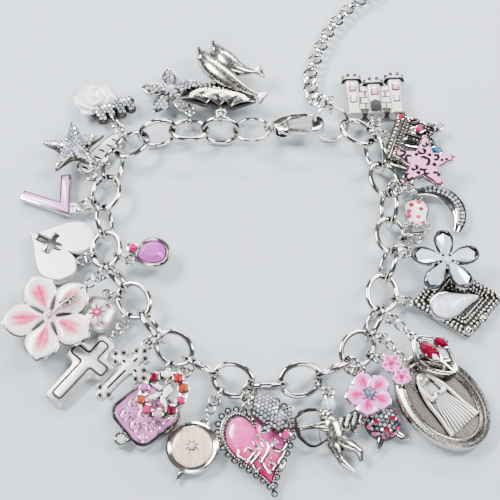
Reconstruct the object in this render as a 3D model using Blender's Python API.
# Charm bracelet: a cable chain with charms on jump rings, closed by a lobster clasp.
# Every length here is in millimetres and becomes metres where an object is made.
# The bracelet lies on the plane z = 0, with its clasp towards +Y. It is laid out from a point
# inside the chain and then moved so that the origin is below the middle of the whole layout.
import math

import bmesh
import bpy
from mathutils import Matrix, Vector

MM = 0.001

# Main chain
LINK_COUNT = 28          # the first and the last one are round end rings
LINK_WIRE = 1.15
LINK_WIDTH = 7.9
END_RING_WIRE = 0.9
FLAT_LEAN = 18.0         # degrees from level, outer side down
EDGE_LEAN = 66.0         # degrees from level, outer side up
LAST_LEAN = 50.0         # the same for the last end ring, which is wider
BITE = 0.12              # how far wires that bear on each other are sunk together
LINK_SIDES = 10
WIRE_SIDES = 5

# Jump rings and the eyes of the charms
RING_SIZE = 4.3
RING_WIRE = 0.68
EYE_HOLE = 1.75
EYE_WALL = 0.5
EYE_THICK = 0.7
EYE_SIDES = 6

# Lobster clasp
CLASP_THICK = 2.5
CLASP_CLEAR = 0.32
LEVER_THICK = 0.9
PIN_SIZE = 0.8
PIVOT = (3.1, -1.2)      # the lever's pin, in the clasp's own frame
NOSE_GAP = 0.35          # between the closed lever and the hook's end

# Extender chain
EXTENDER_WIDTH = 3.0

# Clearance of a charm to the floor
REST = 0.02

# Chain route from the clasp's eye round to its hook, counter-clockwise, x and y
CHAIN_ROUTE = [
    (4.2, 31.6), (-4.5, 30.6), (-14.0, 30.9), (-23.5, 30.2), (-30.8, 25.2), (-34.2, 15.5),
    (-33.8, 4.0), (-32.6, -6.0), (-26.2, -14.6), (-20.2, -24.0), (-10.8, -31.0), (0.0, -35.6),
    (10.8, -34.4), (21.4, -30.0), (27.4, -21.4), (30.8, -9.6), (32.8, 2.0), (32.2, 14.4),
    (30.2, 25.0), (24.6, 32.4), (15.8, 32.8),
]

# Extender's route from its jump ring to its free end, x, y and z
EXTENDER_ROUTE = [
    (15.9, 40.6, 2.2), (15.2, 44.4, 1.7), (15.0, 48.4, 1.7), (16.2, 52.6, 1.7), (17.6, 56.6, 1.7),
    (19.4, 61.0, 1.7), (22.2, 65.6, 1.7), (25.6, 69.8, 1.7), (29.6, 73.0, 1.7), (33.4, 75.4, 1.7),
]

# Where each charm hangs: link, place on the link's loop in degrees from its outer middle,
# rise of the jump ring, heading, nose-down tilt and sideways roll of the charm, length of its neck
HANGINGS = {
    "dolphins": (1, 0, -25, 89, 8, 0, 0),
    "pointed_flower": (2, 0, 15, 131, 3, 0, 0),
    "camellias": (4, -10, 10, 122, 6, 0, 2),
    "dashed_tag": (6, -50, -20, 52, 6, 0, 0),
    "starfish": (5, 20, -20, 132, 7, 0, 0),
    "chevron": (6, 30, 0, 177, 6, 0, 0),
    "cut_heart": (8, 10, -10, 151, 3, 0, 1.7),
    "large_flower": (9, -10, -5, 222, 4, 0, 2.5),
    "star_bead": (10, -50, 0, 248, 0, 0, 0),
    "outlined_cross": (10, 30, -10, 230, 3, 0, 3.3),
    "budded_cross": (11, 50, -20, 232, 1, 0, 0),
    "stone_wreath": (13, -20, 0, 228, 0, 0, 0),
    "rose_box": (12, 20, -10, 246, 2, 0, 2.2),
    "pearl_disc": (14, -20, 0, 246, 4, 0, 4),
    "lace_heart": (14, 50, 0, 286, 5, 0, 3.4),
    "crystal_fawn": (15, -50, 5, 322, 2, 0, 0.7),
    "archer_cherub": (16, 50, 0, 271, 4, 0, 0),
    "pink_flower": (17, 50, -10, 296, 1, 0, 0),
    "crystal_turtle": (18, -40, -5, 291, 3, 0, 5),
    "pink_blossoms": (18, 10, 42, 320, -12, 0, 0),
    "oval_medal": (19, -47, -28, 311, 5.5, 0, 5.3),
    "leaf_drop": (19, 10, 0, 316, 4, 0, 4.5),
    "kite_pendant": (20, 0, -5, 2, 3, 0, 0),
    "crystal_flower": (21, 30, 0, 344, 1, 0, 0),
    "dotted_boot": (22, 0, 0, 91, 5, 0, 0.4),
    "domed_band": (24, -20, 0, -48, 5, 0, 1.0),
    "leopard_star": (23, 50, 10, 48, 1, 0, 0.7),
    "scroll_crown": (26, -50, 0, -20, 4, 0, 0),
    "castle": (26, -10, 0, 92, 2, 0, 0.7),
    "pear_drop": (8, 145, 0, 20, 5, 0, 0),
}

# Where the extender's jump ring holds the last end ring: place on its loop and rise
EXTENDER_HANGING = (0, -30)

# Colour, metallic and roughness of each finish
FINISHES = {
    "polished_silver": ((0.80, 0.79, 0.77), 1.0, 0.12),
    "aged_silver": ((0.55, 0.54, 0.52), 1.0, 0.25),
    "white_enamel": ((0.92, 0.88, 0.88), 0.0, 0.12),
    "pink_enamel": ((0.86, 0.45, 0.62), 0.0, 0.15),
    "crystal_pave": ((0.78, 0.80, 0.84), 0.3, 0.08),
    "ruby_glass": ((0.62, 0.02, 0.14), 0.0, 0.05),
}


# Outlines, as lists of x and y


def arc_points(radius, start, end, count, centre=(0.0, 0.0)):
    points = []
    for i in range(count):
        angle = math.radians(start + (end - start) * i / (count - 1))
        points.append((centre[0] + radius * math.cos(angle), centre[1] + radius * math.sin(angle)))
    return points


def oval(length, width, count):
    return [(length / 2 * math.cos(2 * math.pi * i / count), width / 2 * math.sin(2 * math.pi * i / count))
            for i in range(count)]


def rounded_box(length, width, corner, steps=3):
    points = []
    for sx, sy, start in ((1, 1, 0), (-1, 1, 90), (-1, -1, 180), (1, -1, 270)):
        centre = (sx * (length / 2 - corner), sy * (width / 2 - corner))
        points += arc_points(corner, start, start + 90, steps, centre)
    return points


def petalled(count, inner, outer, width, steps=3, turn=0.0):
    # Round or pointed petals about the origin; width is the petal's share of its sector
    points = []
    sector = 360.0 / count
    for i in range(count):
        middle = turn + i * sector
        points.append(polar(inner, middle - sector / 2))
        for k in range(steps):
            share = (k + 0.5) / steps * 2 - 1
            reach = inner + (outer - inner) * math.sqrt(1 - share * share * 0.72)
            points.append(polar(reach, middle + share * sector / 2 * width))
    return points


def polar(radius, degrees):
    angle = math.radians(degrees)
    return (radius * math.cos(angle), radius * math.sin(angle))


def heart(length, width, count=16):
    # Notch at x = 0 and tip at x = length; the lobes reach back past the notch
    points = []
    for i in range(count):
        t = 2 * math.pi * i / count
        rise = 13 * math.cos(t) - 5 * math.cos(2 * t) - 2 * math.cos(3 * t) - math.cos(4 * t)
        points.append(((5 - rise) / 22 * length, math.sin(t) ** 3 * width / 2))
    return points


def cross(long_arm, short_arm, half_span, arm):
    # Latin cross: its long arm runs to -x and its short arm to +x
    half = arm / 2
    return [
        (short_arm, -half), (short_arm, half), (half, half), (half, half_span), (-half, half_span),
        (-half, half), (-long_arm, half), (-long_arm, -half), (-half, -half), (-half, -half_span),
        (half, -half_span), (half, -half),
    ]


# Shells: closed surfaces, each a pair of points and faces


def lofted(rings, closed=False):
    count = len(rings[0])
    points = [point for ring in rings for point in ring]
    faces = []
    spans = len(rings) if closed else len(rings) - 1
    for i in range(spans):
        a = i * count
        b = (i + 1) % len(rings) * count
        for k in range(count):
            n = (k + 1) % count
            faces.append((a + k, a + n, b + n, b + k))
    if not closed:
        faces.append(tuple(reversed(range(count))))
        faces.append(tuple(range(len(points) - count, len(points))))
    return points, faces


def stacked(outline, layers, centre=(0.0, 0.0)):
    # The outline at each height, drawn in towards the centre by the layer's share
    rings = []
    for height, share in layers:
        rings.append([Vector((centre[0] + (x - centre[0]) * share, centre[1] + (y - centre[1]) * share, height))
                      for x, y in outline])
    return lofted(rings)


def domed(outline, base, rise, steps=3, centre=(0.0, 0.0), crown=0.35):
    layers = []
    for i in range(steps):
        angle = math.pi / 2 * i / (steps - 1) * 0.86
        layers.append((base + rise * math.sin(angle), max(crown, math.cos(angle))))
    return stacked(outline, layers, centre)


def ring_of_wire(length, width, wire, around, sides):
    rings = []
    for i in range(around):
        angle = 2 * math.pi * (i + 0.5) / around
        out = Vector((math.cos(angle) / length, math.sin(angle) / width, 0)).normalized()
        middle = Vector((length / 2 * math.cos(angle), width / 2 * math.sin(angle), 0))
        rings.append([middle + wire / 2 * (out * math.cos(t) + Vector((0, 0, math.sin(t))))
                      for t in (2 * math.pi * k / sides for k in range(sides))])
    return lofted(rings, closed=True)


def washer(inner, outer, thick, around):
    rings = []
    for i in range(around):
        angle = 2 * math.pi * i / around
        out = Vector((math.cos(angle), math.sin(angle), 0))
        rings.append([out * inner + Vector((0, 0, -thick / 2)), out * outer + Vector((0, 0, -thick / 2)),
                      out * outer + Vector((0, 0, thick / 2)), out * inner + Vector((0, 0, thick / 2))])
    return lofted(rings, closed=True)


def swept(points, sizes, sides=6, flat=1.0, closed=False):
    # A round or flattened bar along a path, as thick as the sizes say at each point
    path = [Vector(p) for p in points]
    rings = []
    for i, here in enumerate(path):
        before = path[i - 1] if i > 0 or closed else here
        after = path[(i + 1) % len(path)] if i < len(path) - 1 or closed else here
        along = (after - before).normalized()
        side = along.cross(Vector((0, 0, 1)))
        side = side.normalized() if side.length > 0.05 else Vector((0, 1, 0))
        up = side.cross(along)
        size = sizes[i] if isinstance(sizes, (list, tuple)) else sizes
        rings.append([here + size / 2 * (side * math.cos(t) + up * flat * math.sin(t))
                      for t in (2 * math.pi * (k + 0.5) / sides for k in range(sides))])
    return lofted(rings, closed=closed)


def knob(size, sides=8):
    return stacked(oval(size, size, sides), [(-0.38 * size, 0.6), (0.0, 1.0), (0.38 * size, 0.6)])


def cut_stone(outline, deep, high, table=0.58):
    return stacked(outline, [(-deep, 1.0), (high, table)])


def moved(shell, x=0.0, y=0.0, z=0.0, turn=0.0, tip=0.0):
    place = Matrix.Translation((x, y, z)) @ Matrix.Rotation(math.radians(turn), 4, "Z")
    place = place @ Matrix.Rotation(math.radians(tip), 4, "Y")
    return [place @ Vector(p) for p in shell[0]], shell[1]


def box(x0, x1, y0, y1, z0, z1):
    return stacked([(x0, y0), (x1, y0), (x1, y1), (x0, y1)], [(z0, 1.0), (z1, 1.0)])


def shifted(outline, x=0.0, y=0.0, turn=0.0):
    c = math.cos(math.radians(turn))
    s = math.sin(math.radians(turn))
    return [(x + px * c - py * s, y + px * s + py * c) for px, py in outline]


# Scene helpers


def clear_scene():
    for item in list(bpy.data.objects):
        bpy.data.objects.remove(item)


def finish_material(name):
    material = bpy.data.materials.get(name)
    if material is None:
        colour, metallic, roughness = FINISHES[name]
        material = bpy.data.materials.new(name)
        material.use_nodes = True
        shader = material.node_tree.nodes["Principled BSDF"]
        shader.inputs["Base Color"].default_value = (*colour, 1.0)
        shader.inputs["Metallic"].default_value = metallic
        shader.inputs["Roughness"].default_value = roughness
    return material


def mesh_of(name, shells):
    mesh = bpy.data.meshes.new(name)
    bm = bmesh.new()
    for points, faces in shells:
        corners = [bm.verts.new(Vector(p) * MM) for p in points]
        for face in faces:
            bm.faces.new([corners[i] for i in face])
    bmesh.ops.recalc_face_normals(bm, faces=bm.faces)
    bm.to_mesh(mesh)
    bm.free()
    return mesh


def new_object(name, shells, place=Matrix()):
    item = bpy.data.objects.new(name, mesh_of(name, shells))
    bpy.context.scene.collection.objects.link(item)
    item.matrix_world = place
    return item


def add_tool(owner, label, shells, operation, place):
    # A hidden body that is joined to its owner or cut out of it
    tool = new_object(owner.name + "_" + label, shells, place)
    tool.hide_render = True
    tool.display_type = "WIRE"
    step = owner.modifiers.new(label, "BOOLEAN")
    step.operation = operation
    step.solver = "EXACT"
    step.use_self = True
    step.object = tool
    return tool


def make_piece(name, finish, shells, cuts=(), place=Matrix()):
    # The first shell is the body; the others are soldered to it
    piece = new_object(name, shells[:1], place)
    piece.data.materials.append(finish_material(finish))
    if cuts:
        add_tool(piece, "cut", list(cuts), "DIFFERENCE", place)
    if len(shells) > 1:
        add_tool(piece, "relief", shells[1:], "UNION", place)
    piece.data.shade_smooth()
    piece.data.set_sharp_from_angle(angle=math.radians(40))
    return piece


# Chain


def smooth_route(points, steps):
    route = []
    ends = [tuple(2 * a - b for a, b in zip(points[0], points[1]))]
    ends += [tuple(p) for p in points]
    ends.append(tuple(2 * a - b for a, b in zip(points[-1], points[-2])))
    for i in range(1, len(ends) - 2):
        p0, p1, p2, p3 = ends[i - 1:i + 3]
        for k in range(steps):
            t = k / steps
            route.append(tuple(
                0.5 * (2 * b + (c - a) * t + (2 * a - 5 * b + 4 * c - d) * t * t
                       + (3 * b - a - 3 * c + d) * t ** 3)
                for a, b, c, d in zip(p0, p1, p2, p3)))
    route.append(tuple(points[-1]))
    return [Vector(p) for p in route]


def evenly(route, count):
    # count + 1 points at equal distances along the route
    lengths = [0.0]
    for a, b in zip(route, route[1:]):
        lengths.append(lengths[-1] + (b - a).length)
    result = []
    k = 0
    for i in range(count + 1):
        wanted = lengths[-1] * i / count
        while k < len(route) - 2 and lengths[k + 1] < wanted:
            k += 1
        share = (wanted - lengths[k]) / (lengths[k + 1] - lengths[k])
        result.append(route[k].lerp(route[k + 1], share))
    return result


def chain_height():
    half = (LINK_WIDTH - LINK_WIRE) / 2
    return half * math.sin(math.radians(EDGE_LEAN)) + LINK_WIRE / 2 + REST


class Link:
    # One link: its middle, its long axis, its outward axis and its size along the wire's middle
    def __init__(self, number, start, end):
        self.flat = number % 2 == 0
        round_end = number in (0, LINK_COUNT - 1)
        self.wire = END_RING_WIRE if round_end else LINK_WIRE
        flat_start = Vector((*start, chain_height()))
        flat_end = Vector((*end, chain_height()))
        self.middle = (flat_start + flat_end) / 2
        span = flat_end - flat_start
        self.along = span.normalized()
        self.length = span.length + self.wire - BITE
        self.width = self.length if round_end else LINK_WIDTH - LINK_WIRE
        outward = self.along.cross(Vector((0, 0, 1)))
        lean = math.radians(-FLAT_LEAN if self.flat else EDGE_LEAN)
        if number == LINK_COUNT - 1:
            lean = math.radians(LAST_LEAN)
        self.out = outward * math.cos(lean) + Vector((0, 0, 1)) * math.sin(lean)

    def place(self):
        columns = (self.along, self.out, self.along.cross(self.out))
        return Matrix.Translation(self.middle) @ Matrix(columns).transposed().to_4x4()

    def shell(self):
        points, faces = ring_of_wire(self.length, self.width, self.wire, LINK_SIDES, WIRE_SIDES)
        return [self.place() @ p for p in points], faces


def make_links():
    joints = evenly(smooth_route(CHAIN_ROUTE, 16), LINK_COUNT)
    return [Link(i, joints[i], joints[i + 1]) for i in range(LINK_COUNT)]


class Hanger:
    # A jump ring round a link's wire, and the middle of the charm's eye on its far side
    def __init__(self, link, degrees, lift):
        angle = math.radians(degrees)
        local = Vector((link.length / 2 * math.sin(angle), link.width / 2 * math.cos(angle), 0))
        run = Vector((link.length / 2 * math.cos(angle), -link.width / 2 * math.sin(angle), 0))
        turn = link.place().to_3x3()
        wire_point = link.middle + turn @ local
        self.axis = (turn @ run).normalized()
        level = Vector((self.axis.y, -self.axis.x, 0)).normalized()
        if level.dot(link.out) * math.cos(angle) < 0:
            level = -level
        reach = level * math.cos(math.radians(lift)) + Vector((0, 0, math.sin(math.radians(lift))))
        self.reach = (reach - self.axis * reach.dot(self.axis)).normalized()
        radius = (RING_SIZE - RING_WIRE) / 2
        self.centre = wire_point + self.reach * (radius - (RING_WIRE + link.wire) / 2 + BITE)
        self.eye = self.centre + self.reach * radius
        self.radius = radius
        self.far = self.eye + self.reach * (RING_WIRE / 2 + CLASP_CLEAR)

    def shell(self):
        columns = (self.reach, self.axis.cross(self.reach), self.axis)
        place = Matrix.Translation(self.centre) @ Matrix(columns).transposed().to_4x4()
        points, faces = ring_of_wire(2 * self.radius, 2 * self.radius, RING_WIRE, LINK_SIDES, WIRE_SIDES)
        return [place @ p for p in points], faces


def make_chain(links, rings):
    flat = [link.shell() for link in links if link.flat]
    edge = [link.shell() for link in links if not link.flat]
    chain = new_object("main_chain", flat)
    chain.data.materials.append(finish_material("polished_silver"))
    add_tool(chain, "edge_links", edge, "UNION", Matrix())
    add_tool(chain, "jump_rings", [ring.shell() for ring in rings], "UNION", Matrix())
    chain.data.shade_smooth()
    return chain


def make_extender(ring):
    points = [tuple(ring.far)] + EXTENDER_ROUTE
    route = evenly(smooth_route(points, 8), len(points) - 2)
    curve = bpy.data.curves.new("extender_chain", "CURVE")
    curve.dimensions = "3D"
    curve.bevel_depth = EXTENDER_WIDTH / 2 * MM
    curve.bevel_resolution = 2
    curve.use_fill_caps = True
    spline = curve.splines.new("POLY")
    spline.points.add(len(route) - 1)
    for point, here in zip(spline.points, route):
        point.co = (*(here * MM), 1.0)
    item = bpy.data.objects.new("extender_chain", curve)
    curve.materials.append(finish_material("polished_silver"))
    bpy.context.scene.collection.objects.link(item)
    return item


# Charms: each returns its shells and its cuts, with the eye at the origin and the charm along +x


def eye_shell():
    return washer(EYE_HOLE / 2, EYE_HOLE / 2 + EYE_WALL, EYE_THICK, EYE_SIDES)


def dolphin(path, sizes, fluke_turn):
    body = swept(path, sizes, 5)
    tail = path[-1]
    fluke = stacked([(0.6, 0.3), (-1.4, 2.4), (-0.9, 0.5), (-0.9, -0.5), (-1.4, -2.4), (0.6, -0.3)],
                    [(-0.35, 1.0), (0.35, 0.8)])
    fin_at = path[2]
    fin = stacked([(-1.2, 0.0), (1.4, 0.0), (-1.5, 2.4)], [(-0.35, 1.0), (0.35, 0.75)])
    return [body, moved(fluke, *tail, turn=fluke_turn),
            moved(fin, fin_at[0], fin_at[1] - 1.2, fin_at[2] + 0.3, turn=fluke_turn - 70)]


def fan_shell(radius, x, y, turn):
    flutes = []
    for i in range(9):
        reach = radius * (1.0 if i % 2 == 0 else 0.88)
        flutes.append(polar(reach, -62 + 15.5 * i))
    return moved(stacked([(-0.6, -0.5)] + flutes + [(-0.6, 0.5)], [(-0.4, 1.0), (1.9, 0.72)]), x, y, 0.2, turn=turn)


def dolphins():
    plate = stacked(oval(9.0, 12.5, 8), [(-0.7, 1.0), (0.5, 1.0)])
    first = dolphin([(20.2, 6.2, 1.8), (17.8, 5.2, 1.9), (13.6, 2.6, 1.9), (9.4, -1.8, 1.7), (6.6, -5.8, 1.3),
                     (5.0, -9.2, 1.0)], [0.8, 3.2, 4.6, 4.0, 2.2, 1.0], 60)
    second = dolphin([(22.0, 2.6, 2.3), (19.6, 1.8, 2.4), (16.0, -0.2, 2.5), (13.4, -3.0, 2.2),
                      (12.4, -6.0, 1.8), (12.8, -8.4, 1.4)], [0.8, 3.0, 4.4, 3.8, 2.0, 0.9], 105)
    fans = [fan_shell(5.2, 2.6, 4.4, 12), fan_shell(5.4, 1.9, 0.6, 2), fan_shell(5.0, 1.6, -3.0, -8)]
    return [moved(plate, 5.6, 0.4)] + fans + first + second, []


def pointed_flower():
    outline = petalled(5, 3.1, 7.4, 0.5, 2, 180)
    body = stacked(outline, [(-0.8, 0.96), (0.2, 1.0), (1.1, 0.66)])
    heart_stone = stacked(oval(3.4, 3.4, 8), [(0.4, 1.0), (2.2, 0.65)])
    return [moved(body, 7.6), moved(heart_stone, 7.6)], []


def camellias():
    white = stacked(petalled(6, 4.3, 5.8, 0.8, 2), [(-0.7, 0.95), (0.3, 1.0), (1.5, 0.62)])
    shells = [moved(white, 9.2, 0.8, -0.1)]
    for x, y, size in ((4.6, 0.6, 3.4), (3.9, -4.2, 3.6)):
        shells.append(moved(stacked(petalled(4, size * 0.6, size, 0.8, 2), [(-0.7, 1.0), (2.0, 0.6)]), x, y, 0.1))
    return shells, []


def dashed_tag():
    return [moved(stacked(rounded_box(14.0, 4.6, 1.4), [(-0.5, 1.0), (0.5, 1.0)]), 6.4, 2.9)], []


def starfish():
    outline = petalled(5, 2.9, 7.6, 0.42, 2, 36)
    body = stacked(outline, [(-0.8, 0.94), (0.1, 1.0), (1.6, 0.4)])
    return [moved(body, 7.4, 0.6, 0.2)], []


def chevron():
    long_end, corner, short_end = Vector((15.2, -1.9)), Vector((2.6, 2.6)), Vector((3.6, -8.6))
    wide = 2.5
    u = (long_end - corner).normalized()
    v = (short_end - corner).normalized()
    nu = Vector((-u.y, u.x))
    nv = Vector((v.y, -v.x))
    inner = corner + (u + v) * wide / abs(u.x * v.y - u.y * v.x)
    outline = [corner, long_end, long_end - nu * wide, inner, short_end - nv * wide, short_end]
    lug = box(0.0, 3.4, -0.9, 1.9, -0.34, 0.34)
    return [stacked([tuple(p) for p in outline], [(-0.8, 1.0), (0.8, 1.0)]), moved(lug, 1.1)], []


def cut_heart():
    length, width = 12.0, 16.4
    body = stacked(heart(length, width), [(-1.0, 0.92), (0.3, 1.0), (1.5, 0.6)], (length * 0.4, 0))
    window = stacked(shifted(cross(4.2, 2.6, 2.6, 1.5), 6.0, 0.0, 180), [(-3.0, 1.0), (3.0, 1.0)])
    return [moved(body, 1.3), moved(box(0.9, 1.8, -0.8, 0.8, -0.3, 0.3))], [moved(window, 1.3)]


def large_flower():
    reach, centre = 10.8, 11.4
    petal = [(1.0, 0.0), (4.4, 2.9), (8.0, 4.1), (10.3, 2.6), (reach, 0.0)]
    petal += [(x, -y) for x, y in reversed(petal[1:-1])]
    shells = [moved(stacked(oval(5.4, 5.4, 8), [(-0.9, 1.0), (0.9, 0.9)]), centre)]
    for i in range(5):
        shells.append(moved(stacked(petal, [(-0.7, 1.0), (1.1, 0.78)], (6.2, 0)),
                            centre, 0, 0.05 * (i % 2), turn=36 + 72 * i))
    shells.append(swept([(centre + 0.6, 0, 0.6), (centre - 3.0, 0.4, 1.9), (centre - 7.2, 0.9, 2.1)],
                        [1.3, 0.9, 0.8], 5))
    for along, side in ((-7.2, 0.9), (-6.0, -0.9)):
        shells.append(moved(knob(1.6, 6), centre + along, side, 1.5))
    shells.append(swept([(1.0, 0, 0), (4.4, 0, 0.1)], [1.3, 1.8], 5, 0.6))
    return shells, []


def star_bead():
    outline = rounded_box(8.4, 8.4, 3.0, 3)
    body = stacked(outline, [(-1.9, 0.62), (-0.9, 1.0), (0.6, 1.0), (1.8, 0.62)])
    return [moved(body, 5.3)], []


def outlined_cross():
    outline = cross(12.4, 6.6, 6.2, 5.0)
    middle = 7.4
    body = stacked(outline, [(-1.1, 0.97), (0.8, 1.0)])
    panel = stacked(cross(10.6, 5.0, 4.4, 1.9), [(0.5, 1.0), (1.1, 0.95)])
    return [moved(body, middle, turn=180), moved(panel, middle, turn=180)], []


def budded_cross():
    # Three-lobed ends on narrow arms, one quarter of the outline at a time
    outline = []
    for reach, turn in ((3.2, 90), (8.0, 180), (3.2, 270), (3.6, 0)):
        lobes = [(1.3, -1.3), (reach - 1.0, -1.2), (reach - 0.9, -2.2), (reach + 0.6, -1.9), (reach + 0.8, -1.0),
                 (reach + 2.1, 0.0), (reach + 0.8, 1.0), (reach + 0.6, 1.9),
                 (reach - 0.9, 2.2), (reach - 1.0, 1.2)]
        outline += shifted(lobes, 0, 0, turn)
    body = stacked(outline, [(-0.7, 1.0), (0.7, 1.0)])
    return [moved(body, 6.3, 0.4, turn=176)], []


def stone_wreath():
    plate = stacked(oval(12.4, 11.0, 10), [(-0.5, 1.0), (0.4, 1.0)])
    shells = [moved(plate, 6.9)]
    for i in range(6):
        x, y = polar(1.0, 30 + 60 * i)
        shells.append(moved(cut_stone(oval(2.9, 2.9, 8), 0.6, 0.9), 6.9 + 4.9 * x, 4.2 * y, 0.6))
    leaf = [(-3.0, 0), (0.0, 0.8), (3.0, 0), (0.0, -0.8)]
    shells.append(moved(stacked(leaf, [(0.0, 1.0), (1.1, 0.6)]), 6.9, 0, 0, turn=20))
    opening = stacked(oval(6.8, 5.4, 8), [(-3.0, 1.0), (3.0, 1.0)])
    bridge = box(3.0, 10.8, -0.9, 0.9, -0.5, 0.4)
    return shells + [bridge], [moved(opening, 6.9)]


def rose_box():
    frame = rounded_box(12.6, 12.6, 3.0, 3)
    middle, turn = 7.6, -26
    body = stacked(frame, [(-1.3, 0.94), (0.6, 1.0), (1.1, 0.94)])
    enamel = stacked(rounded_box(10.8, 10.8, 2.4, 2), [(0.8, 1.0), (1.5, 0.9)])
    bezel = stacked(oval(3.2, 3.2, 10), [(-0.9, 1.0), (0.9, 0.8)])
    lug = box(0.95, 3.0, -0.9, 0.9, -0.3, 0.3)
    return [moved(body, middle, turn=turn), moved(enamel, middle, turn=turn), moved(bezel, 14.8, -2.4), lug], []


def pearl_disc():
    middle = 7.3
    rim = stacked(oval(11.6, 11.6, 12), [(-1.3, 0.94), (0.6, 1.0), (1.2, 0.94)])
    pearl = stacked(oval(9.4, 9.4, 12), [(1.0, 1.0), (1.5, 0.88)])
    stone = cut_stone(oval(2.2, 2.2, 8), 0.5, 0.6)
    drop = swept([(12.2, 0, -0.3), (15.6, 0, -0.4)], [1.6, 0.6], 6)
    return [moved(rim, middle), moved(pearl, middle), moved(stone, middle, 0, 1.5), drop], []


def lace_heart():
    length, width = 14.6, 15.6
    centre = (length * 0.4, 0)
    scallops = []
    for i, (x, y) in enumerate(heart(length, width, 26)):
        share = 1.12 if i % 2 == 0 else 1.02
        scallops.append((centre[0] + (x - centre[0]) * share, y * share))
    lace = stacked(scallops, [(-0.8, 1.0), (0.5, 1.0)], centre)
    puffed = stacked(heart(length, width, 14), [(0.3, 0.86), (1.2, 0.84), (2.0, 0.5)], centre)
    scroll = swept([(4.2, 3.4, 1.6), (6.0, 0.4, 2.0), (7.2, -3.6, 1.6)], [0.8, 1.2, 0.7], 4)
    return [moved(lace, 1.6), moved(puffed, 1.6), moved(scroll, 1.6), box(0.9, 2.4, -0.8, 0.8, -0.3, 0.3)], []


def crystal_fawn():
    body = domed(oval(7.4, 6.6, 10), -0.9, 2.6, 3)
    head = domed(oval(5.0, 4.6, 10), -0.7, 2.7, 3)
    shells = [moved(body, 4.2, 0.4), moved(head, 8.4, -0.4, 0.2), box(0.95, 2.4, -0.8, 0.8, -0.3, 0.3)]
    for x, y, turn in ((8.0, 1.4, 75), (7.4, -2.2, 250)):
        ear = [(0, -0.7), (1.6, -0.9), (2.9, 0), (1.6, 0.9), (0, 0.7)]
        shells.append(moved(stacked(ear, [(-0.4, 1.0), (0.6, 0.8)]), x, y, 0.7, turn=turn))
    shells.append(moved(knob(1.3, 6), 9.4, 0.4, 1.6))
    shells.append(moved(cut_stone(oval(2.2, 2.2, 8), 0.6, 0.7), 11.0, -1.6, 0.0))
    return shells, []


def archer_cherub():
    # Head near the eye, bow towards -y (the viewer's left), wing towards +y
    shells = [moved(knob(3.4, 10), 2.8, 0, 0.2)]
    shells.append(moved(knob(3.2, 8), 5.3, -0.9, 0.6))
    shells.append(swept([(5.0, -0.4, 0.4), (8.4, 0.8, 0.6), (11.6, 1.2, 0.5)], [2.6, 3.6, 3.4], 6, 0.8))
    shells.append(swept([(10.8, 1.8, 0.4), (13.2, 5.9, 0.3), (15.4, 6.4, 0.0)], [2.8, 1.6, 0.8], 5))
    shells.append(swept([(11.2, 0.4, 0.2), (15.6, 2.2, 0.0), (17.6, 4.8, -0.2)], [2.8, 1.6, 0.8], 5))
    shells.append(swept([(7.2, 0.4, 1.0), (7.8, -3.2, 1.0), (8.2, -6.6, 0.8)], [1.6, 1.1, 0.9], 5))
    bow = [(4.6, -1.0, 0.5), (4.2, -5.4, 0.7), (7.0, -7.4, 0.8), (10.2, -6.4, 0.7), (12.0, -3.6, 0.4),
           (9.6, 0.6, 0.4)]
    shells.append(swept(bow, [0.9, 1.0, 1.2, 1.1, 0.9, 0.9], 4))
    wing = [(6.8, 1.0), (3.6, 6.4), (4.6, 6.8), (4.4, 8.0), (5.6, 7.6), (5.8, 8.2), (7.2, 7.2), (7.8, 7.0),
            (8.6, 4.6), (8.6, 1.0)]
    shells.append(stacked(wing, [(-0.1, 1.0), (1.2, 0.94)], (7.0, 3.4)))
    return shells, []


def pink_flower():
    body = stacked(petalled(5, 2.2, 5.4, 0.86, 3, 180), [(-0.6, 0.94), (0.3, 1.0), (0.9, 0.62)])
    boss = stacked(oval(2.2, 2.2, 8), [(0.2, 1.0), (1.6, 0.75)])
    return [moved(body, 5.7), moved(boss, 5.7)], []


def pink_blossoms():
    shells = []
    for x, y, size in ((3.0, 0.4, 2.5), (6.8, -1.0, 2.3)):
        shells.append(moved(stacked(petalled(4, size * 0.5, size, 0.86, 2, 20), [(-0.5, 0.94), (0.8, 1.0)]), x, y))
    shells.append(swept([(3.0, 0.4, 0), (6.8, -1.0, 0)], 0.9, 4))
    return shells, []


def crystal_turtle():
    shells = [moved(domed(oval(8.8, 8.0, 10), -1.2, 3.4, 3), 5.4)]
    for x, y, turn in ((9.6, 2.4, 35), (9.6, -2.4, -35)):
        shells.append(moved(swept([(-1.2, 0, -0.3), (0.8, 0, -0.4), (1.4, 0, -0.4)], [1.9, 1.7, 0.8], 5),
                            x, y, 0, turn=turn))
    return shells, []


def oval_medal():
    long_size, short_size, middle = 24.4, 17.6, 13.4
    rim = stacked(oval(long_size, short_size, 16), [(-1.1, 0.96), (0.4, 1.0), (1.1, 0.93)])
    field = stacked(oval(long_size * 0.8, short_size * 0.8, 16), [(-0.1, 1.0), (3.0, 1.0)])
    robe = [(-5.6, 0.7), (-4.6, 1.9), (-1.6, 2.5), (2.4, 3.0), (6.6, 3.6), (7.4, 0.0)]
    robe += [(x, -y) for x, y in reversed(robe[:-1])]
    figure = stacked(robe, [(-0.5, 1.0), (0.7, 0.9), (1.2, 0.5)])
    head = stacked(oval(2.3, 2.0, 8), [(-0.45, 1.0), (0.9, 0.95), (1.3, 0.5)])
    halo = stacked(oval(4.2, 4.2, 10), [(-0.55, 1.0), (0.2, 1.0)])
    bail = box(0.95, 2.0, -0.9, 0.9, -0.3, 0.3)
    shells = [moved(rim, middle)]
    inlay = [moved(figure, middle + 0.4), moved(head, middle - 6.2), moved(halo, middle - 6.2), bail]
    return shells + inlay, [moved(field, middle)]


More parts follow.
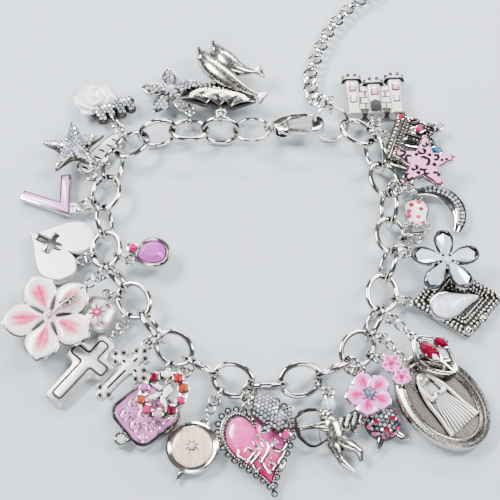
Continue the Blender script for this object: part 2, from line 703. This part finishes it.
def leaf_drop():
    leaf = [(1.0, 0.0), (3.6, -2.8), (7.0, -3.9), (10.4, -3.0), (14.0, 0.4), (10.6, 3.0), (6.6, 4.0), (3.4, 2.8)]
    centre = (7.2, 0.0)
    body = stacked(leaf, [(-0.5, 1.0), (0.5, 1.0)], centre)
    window = stacked([(centre[0] + (x - centre[0]) * 0.72, y * 0.66) for x, y in leaf], [(-3.0, 1.0), (3.0, 1.0)])
    vein = box(1.6, 12.8, -0.45, 0.45, -0.4, 0.35)
    marquise = [(-3.0, 0), (-1.6, 1.1), (0.4, 1.5), (2.0, 1.0), (3.0, 0), (2.0, -1.0), (0.4, -1.5), (-1.6, -1.1)]
    ruby = moved(cut_stone(marquise, 0.7, 0.9), 6.2, 0.0, 0.4)
    small = moved(cut_stone([(x * 0.6, y * 0.8) for x, y in marquise], 0.5, 0.7), 6.6, 3.2, 0.5, turn=-6)
    return [body, vein, ruby, small], [window]


def kite_pendant():
    corners = [Vector((0.8, -0.5)), Vector((9.8, 10.2)), Vector((22.2, 0.8)), Vector((12.8, -9.2))]
    beads = []
    for a, b in zip(corners, corners[1:] + corners[:1]):
        side = (b - a).normalized()
        out = Vector((-side.y, side.x))
        for k in range(6):
            beads.append(tuple(a.lerp(b, k / 6) + out * (0.5 if k % 2 else 0.0)))
    body = stacked(beads, [(-0.9, 1.0), (0.7, 1.0)], (11.5, 0.4))
    inner = stacked([tuple(p) for p in corners], [(0.5, 0.78), (1.3, 0.76)], (11.5, 0.4))
    pear = [(-4.0, 0), (-3.4, 1.9), (-1.4, 3.1), (1.2, 2.9), (4.0, 1.6), (7.4, 0)]
    pear += [(x, -y) for x, y in reversed(pear[1:-1])]
    cabochon = stacked(pear, [(0.6, 1.0), (1.9, 0.92), (2.7, 0.55)])
    shells = [body, inner, moved(cabochon, 10.2, -0.4, turn=16)]
    for x, y in ((16.6, -5.4), (13.4, -8.0)):
        shells.append(moved(knob(2.4, 10), x, y, 0.7))
    return shells, []


def crystal_flower():
    middle = 8.9
    border = stacked(petalled(5, 2.6, 8.0, 0.64, 2, 180), [(-0.9, 0.94), (0.1, 1.0)])
    shells = [moved(border, middle)]
    petal = [(1.2, 0), (3.2, 1.6), (5.8, 2.0), (7.6, 1.0), (7.6, -1.0), (5.8, -2.0), (3.2, -1.6)]
    for i in range(5):
        shells.append(moved(stacked(petal, [(-0.1, 1.0), (1.5, 0.62)], (4.8, 0)), middle, turn=180 + 72 * i))
    shells.append(moved(cut_stone(oval(2.6, 2.6, 8), 1.0, 1.2), middle, 0, 0.7))
    return shells, []


def dotted_boot():
    boot = [(1.2, -2.8), (1.2, 1.8), (4.4, 2.0), (7.8, 2.3), (10.0, 1.9), (10.8, -0.3), (10.4, -2.6), (8.2, -3.8),
            (5.0, -3.1)]
    body = stacked(boot, [(-1.2, 0.9), (0.4, 1.0), (1.4, 0.66)], (6.6, -0.7))
    cuff = stacked(rounded_box(2.6, 6.2, 0.8, 2), [(-1.3, 0.95), (1.6, 1.0)])
    return [body, moved(cuff, 2.6, -0.4)], []


def domed_band():
    path = [(1.2, 0.5, 0), (3.2, 3.4, 0), (6.6, 5.2, 0), (10.2, 5.0, 0), (13.0, 3.0, 0), (14.6, 0.2, 0)]
    return [swept(path, [1.8, 3.2, 4.2, 4.2, 3.4, 2.0], 6, 0.62)], []


def leopard_star():
    body = stacked(petalled(5, 3.7, 7.8, 0.3, 2, 180), [(-0.8, 0.95), (0.2, 1.0), (0.9, 0.86)])
    return [moved(body, 7.6)], []


def scroll_crown():
    # A pierced crown: its band by the eye, three tips with stones and a window under each tip
    side = [(1.0, 0.0), (1.2, 6.6), (3.2, 7.4), (8.6, 7.2), (12.8, 8.0), (10.0, 4.2), (12.2, 2.4), (14.6, 0.0)]
    outline = side + [(x, -y) for x, y in reversed(side[1:-1])]
    body = stacked(outline, [(-0.6, 1.0), (0.7, 1.0)])
    drop = [(-2.2, 0), (-0.8, 1.1), (1.2, 1.3), (2.6, 0), (1.2, -1.3), (-0.8, -1.1)]
    windows = []
    for x, y, turn in ((7.0, 0, 0), (7.2, 4.2, 26), (7.2, -4.2, -26)):
        windows.append(moved(stacked(drop, [(-3.0, 1.0), (3.0, 1.0)]), x, y, turn=turn))
    shells = [body, box(1.2, 3.0, -6.6, 6.6, -1.0, 1.1)]
    for x, y in ((11.7, 7.0), (13.0, 0.0), (11.7, -7.0)):
        shells.append(moved(cut_stone(oval(2.9, 2.9, 8), 0.9, 1.1), x, y, 0.9))
    return shells, windows


def tower(foot, top, middle, wide, front):
    # A tower with three merlons, drawn in outline
    step = wide / 5
    left = middle - wide / 2
    outline = [(foot, left), (foot, left + wide)]
    for k in (5, 3, 1):
        outline += [(top, left + step * k), (top, left + step * (k - 1))]
        if k > 1:
            outline += [(top - 1.7, left + step * (k - 1)), (top - 1.7, left + step * (k - 2))]
    return stacked(list(reversed(outline)), [(-1.9, 1.0), (front, 1.0)])


def castle():
    wall = box(1.5, 9.4, -5.4, 5.4, -1.7, 1.4)
    return [wall, tower(1.2, 13.1, -5.3, 4.4, 1.9), tower(1.3, 11.6, 0.0, 4.6, 2.1), tower(1.2, 13.1, 5.3, 4.4, 1.9)], []


def pear_drop():
    pear = [(-3.6, 0), (-2.4, 1.9), (-0.2, 3.4), (2.4, 3.5), (4.2, 2.0), (4.8, 0)]
    pear += [(x, -y) for x, y in reversed(pear[1:-1])]
    setting = stacked(pear, [(-0.9, 0.96), (0.5, 1.0), (0.8, 0.92)])
    stone = stacked([(x * 0.78, y * 0.76) for x, y in pear], [(0.4, 1.0), (1.1, 0.9), (1.9, 0.55)])
    small = cut_stone(oval(2.8, 2.8, 8), 0.7, 0.8)
    return [moved(setting, 4.8), moved(stone, 4.9), moved(small, 1.6, 2.6, 0.3)], []


CHARMS = {
    "dolphins": (dolphins, "polished_silver"),
    "pointed_flower": (pointed_flower, "crystal_pave"),
    "camellias": (camellias, "white_enamel"),
    "dashed_tag": (dashed_tag, "white_enamel"),
    "starfish": (starfish, "crystal_pave"),
    "chevron": (chevron, "pink_enamel"),
    "cut_heart": (cut_heart, "aged_silver"),
    "large_flower": (large_flower, "white_enamel"),
    "star_bead": (star_bead, "polished_silver"),
    "outlined_cross": (outlined_cross, "aged_silver"),
    "budded_cross": (budded_cross, "aged_silver"),
    "stone_wreath": (stone_wreath, "polished_silver"),
    "rose_box": (rose_box, "pink_enamel"),
    "pearl_disc": (pearl_disc, "polished_silver"),
    "lace_heart": (lace_heart, "pink_enamel"),
    "crystal_fawn": (crystal_fawn, "crystal_pave"),
    "archer_cherub": (archer_cherub, "aged_silver"),
    "pink_flower": (pink_flower, "pink_enamel"),
    "pink_blossoms": (pink_blossoms, "pink_enamel"),
    "crystal_turtle": (crystal_turtle, "crystal_pave"),
    "oval_medal": (oval_medal, "aged_silver"),
    "leaf_drop": (leaf_drop, "ruby_glass"),
    "kite_pendant": (kite_pendant, "aged_silver"),
    "crystal_flower": (crystal_flower, "crystal_pave"),
    "dotted_boot": (dotted_boot, "white_enamel"),
    "domed_band": (domed_band, "crystal_pave"),
    "leopard_star": (leopard_star, "pink_enamel"),
    "scroll_crown": (scroll_crown, "aged_silver"),
    "castle": (castle, "aged_silver"),
    "pear_drop": (pear_drop, "pink_enamel"),
}


def charm_place(hanger, heading, tilt, roll):
    turn = Matrix.Rotation(math.radians(heading), 4, "Z") @ Matrix.Rotation(math.radians(tilt), 4, "Y")
    turn = turn @ Matrix.Rotation(math.radians(roll), 4, "X")
    return Matrix.Translation(hanger.eye * MM) @ turn


def with_neck(shells, cuts, neck):
    # Moves the charm out along a plain stem from its eye
    if neck == 0:
        return shells, cuts
    stem = box(EYE_HOLE / 2 + EYE_WALL / 2, neck + 2.4, -0.5, 0.5, -0.28, 0.28)
    return [moved(shell, neck) for shell in shells] + [stem], [moved(cut, neck) for cut in cuts]


def make_charms(hangers):
    for name, (shape, finish) in CHARMS.items():
        heading, tilt, roll, neck = HANGINGS[name][3:]
        shells, cuts = with_neck(*shape(), neck)
        place = charm_place(hangers[name], heading, tilt, roll)
        make_piece(name, finish, [shells[0], eye_shell()] + shells[1:], cuts, place)


# Clasp: its eye holds the first end ring and its hook the last one. Its own frame has the eye
# at the origin, its length along +x and its opening side towards -y.


def clasp_place(links):
    first, last = links[0], links[-1]
    start = first.middle - first.along * first.length / 2
    end = last.middle + last.along * last.length / 2
    along = (end - start).normalized()
    face = first.along.cross(first.out)
    side = -face.cross(along).normalized()
    if side.y < 0:
        side = -side
    columns = (along, side, along.cross(side))
    place = Matrix.Translation(start * MM) @ Matrix(columns).transposed().to_4x4()
    return place, (end - start).length


def make_clasp(links):
    place, b = clasp_place(links)
    half = CLASP_THICK / 2
    outline = [
        (0.95, 1.0), (3.0, 2.5), (6.0, 3.3), (b - 1.4, 3.1), (b + 0.9, 2.3), (b + 2.5, 0.5),
        (b + 2.6, -1.6), (b + 1.3, -3.4), (b - 0.3, -4.0), (b - 1.0, -3.9), (b - 1.0, -2.6),
        (b + 0.1, -2.4), (b + 1.0, -1.4), (b + 1.2, 0.1), (b + 0.6, 1.3), (b - 1.4, 1.6),
        (6.0, 1.4), (5.0, 0.9), (4.9, -1.5), (4.2, -2.9), (2.4, -3.1), (0.95, -1.0),
    ]
    arm = stacked(outline, [(-half, 0.97), (0.0, 1.0), (half, 0.97)], (b / 2, 0.8))
    hole = END_RING_WIRE / 2 + CLASP_CLEAR
    points, faces = washer(hole, hole + 0.6, 1.5, 10)
    eye = ([Matrix.Rotation(math.pi / 2, 4, "X") @ p for p in points], faces)
    boss = 1.3
    slot_half = LEVER_THICK / 2 + CLASP_CLEAR
    slot = box(PIVOT[0] - boss - CLASP_CLEAR, 6.4, -5.0, PIVOT[1] + boss + CLASP_CLEAR, -slot_half, slot_half)
    pin = moved(stacked(oval(PIN_SIZE, PIN_SIZE, 10), [(-half * 0.9, 1.0), (half * 0.9, 1.0)]), *PIVOT)
    make_piece("clasp_body", "polished_silver", [arm, eye, pin], [slot], place)

    tip = b - 1.0 - NOSE_GAP - PIVOT[0]
    lever_outline = arc_points(boss, 40, 250, 8) + [
        (0.6, -1.4), (1.0, -2.5), (2.0, -2.7), (2.4, -1.7), (tip - 0.5, -2.3), (tip - 0.1, -1.2), (2.6, -0.3)]
    lever = stacked(lever_outline, [(-LEVER_THICK / 2, 1.0), (LEVER_THICK / 2, 1.0)])
    bore = PIN_SIZE / 2 + CLASP_CLEAR
    cut = stacked(oval(2 * bore, 2 * bore, 10), [(-2.0, 1.0), (2.0, 1.0)])
    lever_place = place @ Matrix.Translation(Vector((*PIVOT, 0)) * MM)
    make_piece("clasp_lever", "polished_silver", [lever], [cut], lever_place)


def move_to_origin():
    # The origin is the middle of the whole layout, on the plane that it lies on
    bpy.context.view_layer.update()
    state = bpy.context.evaluated_depsgraph_get()
    corners = []
    for item in bpy.data.objects:
        if not item.hide_render:
            corners += [item.matrix_world @ vertex.co for vertex in item.evaluated_get(state).to_mesh().vertices]
    low = [min(corner[axis] for corner in corners) for axis in range(3)]
    high = [max(corner[axis] for corner in corners) for axis in range(3)]
    middle = Vector(((low[0] + high[0]) / 2, (low[1] + high[1]) / 2, low[2]))
    print("layout middle, mm", [round(value / MM, 4) for value in middle])
    for item in bpy.data.objects:
        item.matrix_world = Matrix.Translation(-middle) @ item.matrix_world
    bpy.context.view_layer.update()


def main():
    clear_scene()
    links = make_links()
    hangers = {name: Hanger(links[row[0]], row[1], row[2]) for name, row in HANGINGS.items()}
    extender_ring = Hanger(links[-1], *EXTENDER_HANGING)
    make_chain(links, list(hangers.values()) + [extender_ring])
    make_charms(hangers)
    make_clasp(links)
    make_extender(extender_ring)
    move_to_origin()


main()
